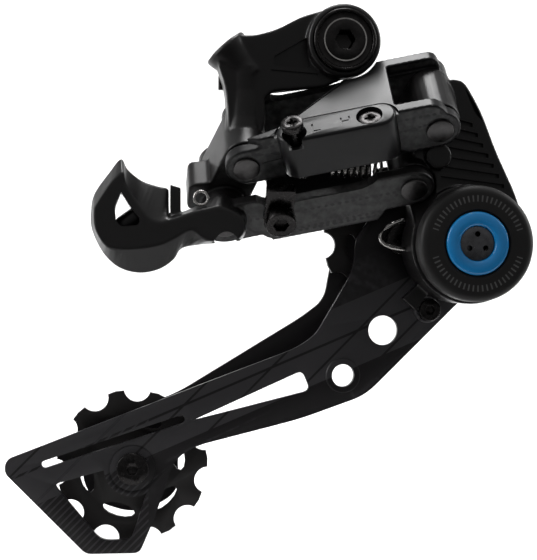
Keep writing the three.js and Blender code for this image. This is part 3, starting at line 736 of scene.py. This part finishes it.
def inner_link():
    end = A_TO_B[0]
    fin = loft("fin", [
        [at(x, -26.0, z) for x, z in softened(FIN_FRONT)],
        [at(x, -20.2, z) for x, z in softened(FIN_BACK)],
        [at(x, -17.8, z) for x, z in softened(FIN_BACK)],
    ])
    bottom = outline([(4, 0), (14, 10.8, 3), (50, 10.8, 3), (end - 5, 0)])
    solids = [
        slab(PIN_C, strap((0, 0), EAR_R + 1, (end, 0), EAR_R), *INNER_EAR),
        slab(PIN_C, strap((0, 0), EAR_R + 0.6, (end, 0), EAR_R), *BACK_EAR),
        slab(PIN_C, bottom, *INNER_EAR),
        slab(PIN_C, bottom, *BACK_EAR),
        prism("web", [(14, -54.3), (50, -54.3), (50, -21.3), (14, -21.3)], PIN_C, ALONG, PINS, ACROSS,
              8.4, 10.8),
        fin,
        upright([(-56.3, -46.9), (-52.9, -47.9), (-52.9, -56.5), (-56.3, -57)], -22.5, -17.9),
    ]
    link = cast("vis_inner_link", solids, voxel=0.42, rounds=3)
    cutters = [
        slab(PIN_C, outline([(14, -4.2, 5), (end - 13, -4.2, 5), (end - 9, -9), (11, -9)]), -56, -49),
        pin_rod(PIN_C, BOSS_R + 0.8, -50.5, -25.0),
        pin_rod(PIN_C, 4.7, -75, -54.4),
        pin_rod(PIN_C, LINK_BORE, -60, 0),
        pin_rod(PIN_D, LINK_BORE, -60, 0),
        pin_rod(PIN_C + clamp_offset(), 2.6, -60, -49, 24),
        upright(outline(FIN_WINDOW), -28, -15),
        upright([(-56.7, -46), (-56.2, -46), (-56.2, -56), (-56.7, -56)], -24, -17),
    ]
    carve(link, cutters)
    smooth_shading(link, 38)
    dress(link, "link_black", "inner_link", "inner_link", material=CHARCOAL)
    # The light saddle that shows through the fin's window.
    saddle = tube(
        [at(-75.5, -19.5, -62.5), at(-71.5, -19.2, -60.2), at(-67, -19.2, -57.2),
         at(-62, -19.5, -53.5)],
        [1.6, 3.2, 3.4, 2.2],
    )
    saddle = cast("vis_fin_saddle", [saddle], voxel=0.4, rounds=4)
    smooth_shading(saddle, 60)
    dress(saddle, "link_black", "inner_link")


def clamp_offset():
    """From pin C to the cable clamp's bolt, in the plane of the links."""
    low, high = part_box("cable_clamp_bolt")
    middle = (Vector(low) + Vector(high)) / 2 - PIN_C
    return ALONG * middle.dot(ALONG) + ACROSS * middle.dot(ACROSS)


# ------------------------------------------------------------------ pulley knuckle

# Slanted ribs on the knuckle's front face: how many, how far apart, how much each grows.
RIBS = 7
RIB_PITCH = 3.3
RIB_GROWTH = 1.75


def pulley_knuckle():
    base = node_copy("base", "p_knuckle")
    flank_front = [
        (34, -14.5, 1.5), (37.4, -12.8, 1.5), (44.5, -22.6, 3), (49.0, -35.3, 3), (52.3, -45, 2),
        (53.8, -53, 1.5), (50, -50), (30, -46), (28, -30), (30, -20),
    ]
    flank_back = [
        (34, -14.5, 1.5), (38.0, -12.4, 1.5), (44.6, -22.6, 3), (51.0, -35, 3), (55.6, -46, 2),
        (57.2, -54, 1.5), (50, -50), (30, -46), (28, -30), (30, -20),
    ]
    solids = [
        base,
        loft("flank", [
            [at(x, -27.5, z) for x, z in outline(flank_front)],
            [at(x, -13.5, z) for x, z in outline(flank_back)],
        ]),
        y_rod(29.8, -37.6, 4.2, -31.0, -22),
    ]
    knuckle = cast("vis_p_knuckle", solids, voxel=0.42, rounds=4)
    cutters = [
        slab(PIN_C, strap((0, 0), EAR_R + 1.4, (A_TO_B[0], 0), EAR_R + 0.4), -54.6, -50.2),
        pin_rod(PIN_B, EAR_R + 0.5, -60, -44.0),
        pin_rod(PIN_D, EAR_R + 0.5, -70, -50.2),
        pin_rod(PIN_B, EAR_R + 0.5, -25.3, 0),
        pin_rod(PIN_D, EAR_R + 0.5, -25.3, 0),
        pin_rod(PIN_B, KNUCKLE_BORE, -60, 0),
        pin_rod(PIN_D, KNUCKLE_BORE, -60, 0),
        y_rod(*CLUTCH_XZ, 15.5, -32, -15),
        y_rod(*CLUTCH_XZ, 6.4, -16, -11),
    ]
    for i in range(RIBS):
        z = -24.5 - RIB_PITCH * i
        right = 41.5 + RIB_GROWTH * i
        cutters.append(upright(
            [(31.0, z + 0.4), (right, z - 2.2), (right, z - 3.5), (31.0, z - 1.6)], -29, -26.9
        ))
    cutters.append(upright(outline([
        (38.6, -14.6, 0.6), (42.6, -20.9, 1), (45.2, -26.6, 0.5), (42.2, -23.2, 1),
    ]), -29, -25.5))
    carve(knuckle, cutters)
    smooth_shading(knuckle, 40)
    dress(knuckle, "knuckle_black", "p_knuckle", "p_knuckle")
    # The sprung wire loop that stands out at the left of the housing.
    loop = tube(
        [at(21.5, -19.5, -57.6), at(18, -20, -58.7), at(14.5, -20.3, -60.3), at(12.3, -20.5, -62.6),
         at(12.8, -20.5, -65.2), at(15.2, -20.3, -66.6), at(18.4, -20, -67.2), at(22, -19.5, -67.6)],
        [0.75] * 8, 14,
    )
    subdivided(loop)
    smooth_shading(loop, 80)
    loop.name = "vis_clutch_wire"
    dress(loop, "spring_steel", "p_knuckle")


# ------------------------------------------------------------------ clutch cover and badge

COVER_FRONT = -39.0
BADGE_PROUD = 0.6
SPANNER_HOLES = 3
SPANNER_RING = 3.0
TICK_RING = 14.3
TICKS_PER_TURN = 60


def clutch_cover():
    start = CAGE_AXIS + Y * COVER_FRONT * UNIT
    profile = [
        (10.5, 1.2), (10.6, 0.3), (10.9, 0.0), (16.0, 0.0), (16.9, 0.15), (17.8, 0.6), (18.4, 1.4),
        (18.6, 2.4), (18.6, 7.0), (18.3, 8.5), (14.5, 8.5), (14.5, 3.2), (5.0, 3.2), (5.0, 1.2),
    ]
    cover = revolved("vis_clutch_cover", start, Y, profile, 120)
    smooth_shading(cover, 30)
    dress(cover, "cover_black", "p_knuckle", "clutch_cover", material=COVER)
    # The badge is a domed ring round a plain dish with three spanner holes.
    badge_start = start - Y * BADGE_PROUD * UNIT
    ring = revolved("vis_badge_ring", badge_start, Y, [
        (5.6, 1.5), (5.6, 0.8), (5.9, 0.3), (6.6, -0.05), (7.8, -0.15), (9.2, 0.0), (9.8, 0.3),
        (10.1, 0.8), (10.1, 1.5),
    ], 96)
    smooth_shading(ring, 60)
    dress(ring, "badge_blue", "p_knuckle", "clutch_badge")
    dish = turned("vis_badge_dish", badge_start, Y, [(4.9, 0.9), (5.6, 1.2), (5.6, 1.6)], 72)
    holes = []
    for i in range(SPANNER_HOLES):
        a = math.radians(90 + 360 / SPANNER_HOLES * i)
        x, z = CLUTCH_XZ
        x += SPANNER_RING * math.cos(a)
        z += SPANNER_RING * math.sin(a)
        holes.append(y_rod(x, z, 0.9, -39.5, -37.9))
    carve(dish, holes)
    smooth_shading(dish, 40)
    dress(dish, "bearing_steel", "p_knuckle")


# ------------------------------------------------------------------ cage plates

OUTER_PLATE = (-8.5, -6.3)
INNER_PLATE = (6.3, 8.3)
STOP_BOLT = (30.6, -87.6)
BIG_HOLE = (15.8, -94.6)
SMALL_HOLE = (2.1, -109.7)
BOLT_HOLE = 2.7
EDGE = 0.28


def cage_plates():
    outer = upright(outline([
        (6.5, -64, 3), (13, -54, 6), (28, -50, 8), (48, -50, 7), (57, -61, 6), (57, -72, 4),
        (41.1, -85.8, 3), (9.8, -116.4, 5), (-12.5, -124.2, 6), (-47.4, -132.8, 4),
        (-54.5, -137.3, 4), (-61, -156.5, 3), (-66, -168, 2), (-83.6, -168, 2),
        (-110.2, -140.8, 2), (-109.6, -136.6, 2), (-46, -112.5, 6), (-13.5, -100.4, 4),
        (-7.1, -96, 3), (6, -74, 5),
    ], 8), *OUTER_PLATE)
    outer.name = "vis_cage_outer_plate"
    window = upright(outline([
        (-94.0, -144.8, 2), (-76, -140, 2), (-61, -140, 1), (-68.6, -163.6, 2), (-78.6, -163.6, 3),
    ]), -10, -5)
    carve(window, [y_rod(*LOWER_XZ, 9.4, -12, 0, 72)])
    slot = upright(strap((-96.8, -138.2), 1.2, (-52.4, -124.0), 1.4), -10, -5)
    wedge = upright(outline([(-48.6, -124.4, 0.5), (-11.6, -107.9, 2.4), (-8.9, -114.6, 2.4)]), -10, -5)
    boss = turned("boss", at(SMALL_HOLE[0], -9.1, SMALL_HOLE[1]), Y, [
        (5.5, 0), (5.9, 0.4), (5.9, 2.8),
    ], 64)
    stop = turned("stop", at(STOP_BOLT[0], -11.1, STOP_BOLT[1]), Y, [
        (4.0, 0), (4.4, 0.4), (4.4, 4.8),
    ], 64)
    carve(outer, [window, slot, wedge])
    carve(outer, [boss, stop], "UNION")
    holes = [y_rod(*BIG_HOLE, 5.0, -14, 0, 72), y_rod(*SMALL_HOLE, 3.8, -14, 0, 72)]
    bolts = ((UPPER_XZ, BOLT_HOLE), (LOWER_XZ, BOLT_HOLE), (CLUTCH_XZ, 4.2), (STOP_BOLT, 1.9))
    for place, radius in bolts:
        holes.append(y_rod(*place, radius, -14, 0))
    # A turned step round the lower pulley's bolt.
    holes.append(revolved("step", at(LOWER_XZ[0], -9.0, LOWER_XZ[1]), Y, [
        (7.3, 0), (7.9, 0), (7.9, 0.8), (7.3, 0.8),
    ], 72))
    carve(outer, holes)
    bevelled(outer, EDGE)
    smooth_shading(outer, 34)
    dress(outer, "cage_black", "cage", "cage_outer_plate", material=CAGE_PRINT)
    inner = upright(outline([
        (0.6, -70, 5), (9, -54, 8), (30, -50, 10), (36, -68, 8), (28, -80, 6), (2, -93, 6),
        (-22, -112, 8), (-48, -124, 8), (-53, -138, 5), (-52, -150, 6), (-66, -158, 8),
        (-84, -152, 8), (-86, -136, 8), (-74, -124, 6), (-53, -116.3, 6), (-10, -90.4, 4),
        (-2.1, -84.4, 4),
    ], 8), *INNER_PLATE)
    inner.name = "vis_cage_inner_plate"
    carve(inner, [y_rod(*place, BOLT_HOLE, 0, 14) for place in (UPPER_XZ, LOWER_XZ)])
    bevelled(inner, EDGE)
    smooth_shading(inner, 34)
    dress(inner, "cage_black", "cage", "cage_inner_plate")


# ------------------------------------------------------------------ special finishes


def printed_cage():
    """Black plate with generic grey panels above and fine engraved lines below."""
    n = coated("cage_printed", CAGE_BASE, CAGE_WORN, 0.42, 0.2)
    shader = n.shader
    split = n.tree.nodes.new("ShaderNodeSeparateXYZ")
    n.link(n.place(), split.inputs[0])
    x, z = split.outputs["X"], split.outputs["Z"]
    # Distances across two sets of slanted lines, in drawing units.
    slant = n.math("MULTIPLY", n.math("SUBTRACT", x, z), 0.70711 / UNIT)
    level = n.math("MULTIPLY", n.math("SUBTRACT", z, n.math("MULTIPLY", x, 0.42)), 0.922 / UNIT)
    stripe = n.math("LESS_THAN", n.math("PINGPONG", slant, 6.0), 0.35)
    rung = n.math("LESS_THAN", n.math("PINGPONG", level, 7.5), 0.4)
    lines = n.math("MAXIMUM", stripe, rung)
    above = n.math("GREATER_THAN", level, -101.0)
    below = n.math("LESS_THAN", level, -80.0)
    panels = n.math("MULTIPLY", n.math("MULTIPLY", above, below), n.math("SUBTRACT", 1.0, lines))
    corner = n.math("LESS_THAN", x, -63.0 * UNIT)
    fine = n.math("LESS_THAN", n.math("PINGPONG", slant, 0.9), 0.28)
    engraved = n.math("MULTIPLY", corner, fine)
    plain = shader.inputs["Base Color"].links[0].from_socket
    mask = n.math("MAXIMUM", panels, n.math("MULTIPLY", engraved, 0.8))
    n.link(n.mix(mask, plain, (0.026, 0.025, 0.027)), shader.inputs["Base Color"])
    return n


def charcoal_link():
    """The satin grey of the inner link and its fin."""
    return coated("link_charcoal", (0.009, 0.0085, 0.0088), (0.05, 0.05, 0.05), 0.32, 0.30, 0.10)


def ticked_cover():
    """The cover's face with a ring of plain tick marks in place of lettering."""
    n = coated("cover_ticked", (0.008, 0.0075, 0.0075), (0.02, 0.02, 0.02), 0.5, 0.25, 0.4, 3200.0)
    shader = n.shader
    split = n.tree.nodes.new("ShaderNodeSeparateXYZ")
    n.link(n.place(), split.inputs[0])
    dx = n.math("SUBTRACT", split.outputs["X"], CAGE_AXIS.x)
    dz = n.math("SUBTRACT", split.outputs["Z"], CAGE_AXIS.z)
    angle = n.math("ARCTAN2", dz, dx)
    radius = n.math("SQRT", n.math("ADD", n.math("MULTIPLY", dx, dx), n.math("MULTIPLY", dz, dz)))
    turn = n.math("MULTIPLY", angle, TICKS_PER_TURN / math.pi)
    tick = n.math("LESS_THAN", n.math("PINGPONG", turn, 1.0), 0.34)
    inside = n.math("LESS_THAN", n.math("ABSOLUTE", n.math("SUBTRACT", radius, TICK_RING * UNIT)), UNIT)
    # Two arcs of ticks, above and below, with gaps at the sides.
    arcs = n.math("GREATER_THAN", n.math("ABSOLUTE", n.math("SINE", angle)), 0.30)
    front = n.math("LESS_THAN", split.outputs["Y"], -38.0 * UNIT)
    mask = n.math("MULTIPLY", n.math("MULTIPLY", tick, inside), n.math("MULTIPLY", arcs, front))
    plain = shader.inputs["Base Color"].links[0].from_socket
    n.link(n.mix(mask, plain, (0.07, 0.07, 0.07)), shader.inputs["Base Color"])
    return n


CHARCOAL = charcoal_link()
COVER = ticked_cover()
CAGE_PRINT = printed_cage()

hanger_knuckle()
outer_link()
inner_link()
pulley_knuckle()
clutch_cover()
cage_plates()
bolt_ring()

# ------------------------------------------------------------------ plates, screws, turned parts

MADE = {
    "b_knuckle", "outer_link", "inner_link", "p_knuckle", "clutch_cover", "clutch_badge",
    "cage_outer_plate", "cage_inner_plate",
}
EDGES = {
    "hanger_bolt": 0.4,
    "upper_pulley": 0.3,
    "lower_pulley": 0.3,
    "cable_clamp_plate": 0.5,
}
FINISH = {"stop_washer": MATERIALS["screw_black"]}
for node in SLOTS:
    if node not in MADE:
        piece = edged(node, EDGES.get(node, 0.22))
        dress(piece, SLOTS[node], BODY_OF[node], node, material=FINISH.get(node))

# ------------------------------------------------------------------ stage, light and camera


def stage_sheet():
    """A pale floor that curves up into a wall behind the part."""
    floor_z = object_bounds()[0][2] - 12 * MM
    half_width = 3.0
    bend = 0.6
    front = -0.10
    back = 1.6
    line = [(front, 0.0), (back - bend, 0.0)]
    line += [
        (back - bend + bend * math.sin(a), bend - bend * math.cos(a))
        for a in [math.pi / 2 * i / 16 for i in range(1, 17)]
    ]
    line.append((back, 3.0))
    bm = bmesh.new()
    rows = [
        [bm.verts.new((x, y, floor_z + z)) for x in (-half_width, half_width)]
        for y, z in line
    ]
    for low, high in zip(rows, rows[1:]):
        bm.faces.new((low[0], low[1], high[1], high[0]))
    sheet = from_bmesh("stage_sheet", bm)
    smooth_shading(sheet, 80)
    n = Nodes("stage_white")
    drift = n.remap(n.noise(3.0, 2.0), 0.3, 0.7)
    n.link(n.mix(drift, (0.86, 0.86, 0.86), (0.89, 0.89, 0.89)), n.shader.inputs["Base Color"])
    n.shader.inputs["Roughness"].default_value = 0.95
    n.shader.inputs["Specular IOR Level"].default_value = 0.1
    sheet.data.materials.append(n.material)
    sheet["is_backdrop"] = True


def area_light(name, place, target, size, power):
    data = bpy.data.lights.new(name, "AREA")
    data.shape = "RECTANGLE"
    data.size, data.size_y = size
    data.energy = power
    lamp = bpy.data.objects.new(name, data)
    lamp.location = place
    lamp.rotation_euler = (Vector(target) - Vector(place)).to_track_quat("-Z", "Y").to_euler()
    bpy.context.scene.collection.objects.link(lamp)


stage_sheet()
low, high = (Vector(corner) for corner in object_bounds())
middle = (low + high) / 2
area_light("key_top", middle + Vector((0.02, 0.03, 0.42)), middle, (0.20, 0.12), 1.35)
area_light("rim_left", middle + Vector((-0.80, -0.10, 0.35)), middle, (0.25, 0.6), 5)
area_light("rim_right", middle + Vector((0.80, 0.10, 0.35)), middle, (0.25, 0.6), 4)
area_light("wall_wash", Vector((0, 0.12, 0.42)), Vector((0, 1.4, 0.30)), (2.4, 0.4), 30)

# The room is bright overhead and dim below and in front.
world = bpy.data.worlds.new("studio")
world.use_nodes = True
room = world.node_tree
sky = room.nodes.new("ShaderNodeTexCoord")
parts = room.nodes.new("ShaderNodeSeparateXYZ")
ramp = room.nodes.new("ShaderNodeMapRange")
ramp.inputs["From Min"].default_value = -0.3
ramp.inputs["From Max"].default_value = 0.9
ramp.inputs["To Min"].default_value = 0.10
ramp.inputs["To Max"].default_value = 0.55
room.links.new(sky.outputs["Generated"], parts.inputs[0])
room.links.new(parts.outputs["Z"], ramp.inputs["Value"])
room.links.new(ramp.outputs["Result"], room.nodes["Background"].inputs["Strength"])
room.nodes["Background"].inputs["Color"].default_value = (1, 1, 1, 1)
bpy.context.scene.world = world
bpy.context.scene.view_settings.view_transform = "Standard"

# The camera looks level, turned a little to the right.
YAW = math.radians(6.0)
AIM = at(-23.2, -10.0, -77.6)
DISTANCE = 450 * UNIT
camera_data = bpy.data.cameras.new("camera")
camera_data.lens = 86.8
camera_data.sensor_width = 36.0
camera_data.clip_start = 0.01
camera = bpy.data.objects.new("camera", camera_data)
camera.location = AIM - Vector((math.sin(YAW), math.cos(YAW), 0)) * DISTANCE
camera.rotation_euler = (math.radians(90), 0, -YAW)
bpy.context.scene.collection.objects.link(camera)
bpy.context.scene.camera = camera
